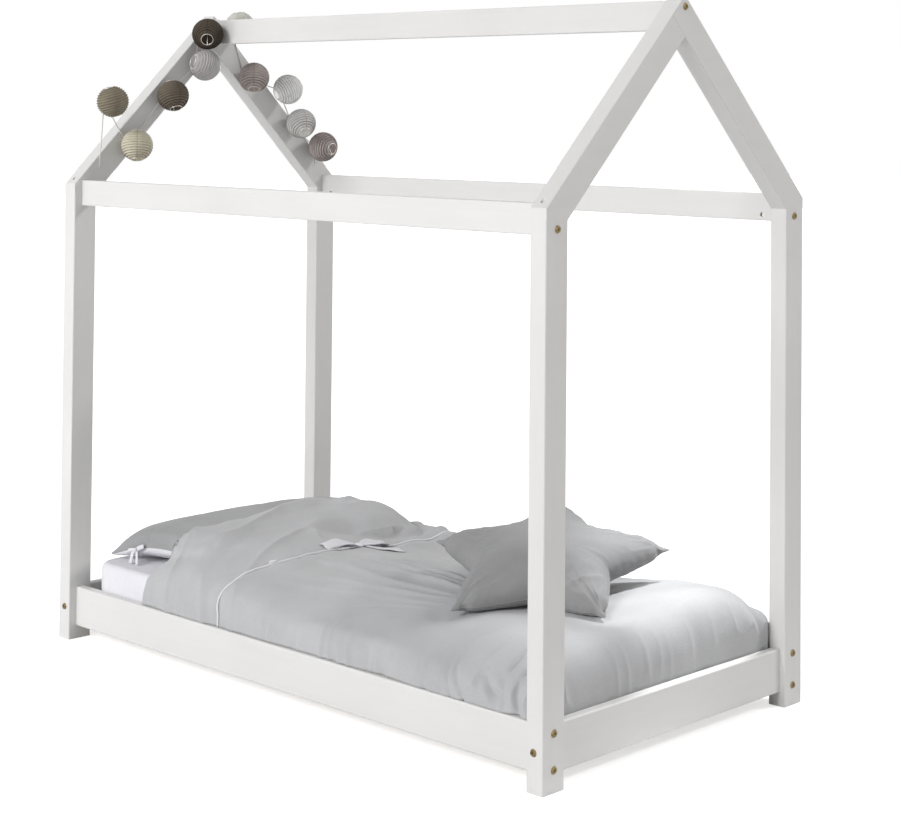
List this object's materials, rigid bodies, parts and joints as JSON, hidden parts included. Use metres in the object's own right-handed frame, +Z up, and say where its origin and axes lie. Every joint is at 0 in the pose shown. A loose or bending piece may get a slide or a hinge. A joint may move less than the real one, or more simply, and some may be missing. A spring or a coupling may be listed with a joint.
{
  "type": "house frame bed",
  "caption": "Low toddler bed inside a square-timber house frame with gabled ends, eaves rails and a ridge beam, with slatted base, mattress, grey bedding and a string of paper lanterns along the head gable.",
  "frame": {"origin": "on the floor at the centre of the bed's footprint", "axes": "+X from the head end to the foot end along the bed, +Y from the near long side to the far one as the picture shows it, +Z up"},
  "size_m": [1.5152, 0.7952, 1.4522],
  "materials": {
    "dowel_wood": "plain beech dowel",
    "duvet_cotton": "light grey washed cotton",
    "barrel_nut": "zinc-plated cross nut",
    "bolt": "yellow zinc-plated steel, hexagon socket head",
    "white_timber": "white satin lacquer over planed softwood",
    "sheet_cotton": "white cotton jersey",
    "garland_wire": "thin pale flex",
    "lantern_paper": "ribbed paper in greys, cream and brown",
    "mattress_foam": "foam mattress in a cotton cover",
    "pillow_cotton": "light grey washed cotton",
    "screw": "zinc-plated countersunk screw",
    "slat_wood": "planed, unfinished softwood",
    "slat_webbing": "woven white webbing",
    "star_cotton": "mid grey washed cotton"
  },
  "bodies": {
    "root": {"apex_dowels": "dowel_wood", "duvet": "duvet_cotton", "eaves_rail_barrel_nuts": "barrel_nut", "eaves_rail_bolts": "bolt", "eaves_rail_dowels": "dowel_wood", "eaves_rail_far": "white_timber", "eaves_rail_near": "white_timber", "end_rail_barrel_nuts": "barrel_nut", "end_rail_bolts": "bolt", "end_rail_dowels": "dowel_wood", "end_rail_foot": "white_timber", "end_rail_head": "white_timber", "fitted_sheet": "sheet_cotton", "garland_wire": "garland_wire", "lanterns": "lantern_paper", "mattress": "mattress_foam", "pillow": "pillow_cotton", "post_foot_far": "white_timber", "post_foot_near": "white_timber", "post_head_far": "white_timber", "post_head_near": "white_timber", "rafter_foot_far": "white_timber", "rafter_foot_near": "white_timber", "rafter_head_far": "white_timber", "rafter_head_near": "white_timber", "rafter_seat_dowels": "dowel_wood", "rafter_seat_screws": "screw", "ridge_beam": "white_timber", "ridge_beam_barrel_nuts": "barrel_nut", "ridge_beam_bolts": "bolt", "ridge_beam_dowels": "dowel_wood", "side_rail_barrel_nuts": "barrel_nut", "side_rail_bolts": "bolt", "side_rail_far": "white_timber", "side_rail_near": "white_timber", "slat_01": "slat_wood", "slat_02": "slat_wood", "slat_03": "slat_wood", "slat_04": "slat_wood", "slat_05": "slat_wood", "slat_06": "slat_wood", "slat_07": "slat_wood", "slat_08": "slat_wood", "slat_09": "slat_wood", "slat_10": "slat_wood", "slat_11": "slat_wood", "slat_12": "slat_wood", "slat_13": "slat_wood", "slat_ledge_far": "slat_wood", "slat_ledge_near": "slat_wood", "slat_tape_far": "slat_webbing", "slat_tape_near": "slat_webbing", "star_cushion": "star_cotton"}
  },
  "joints": []
}
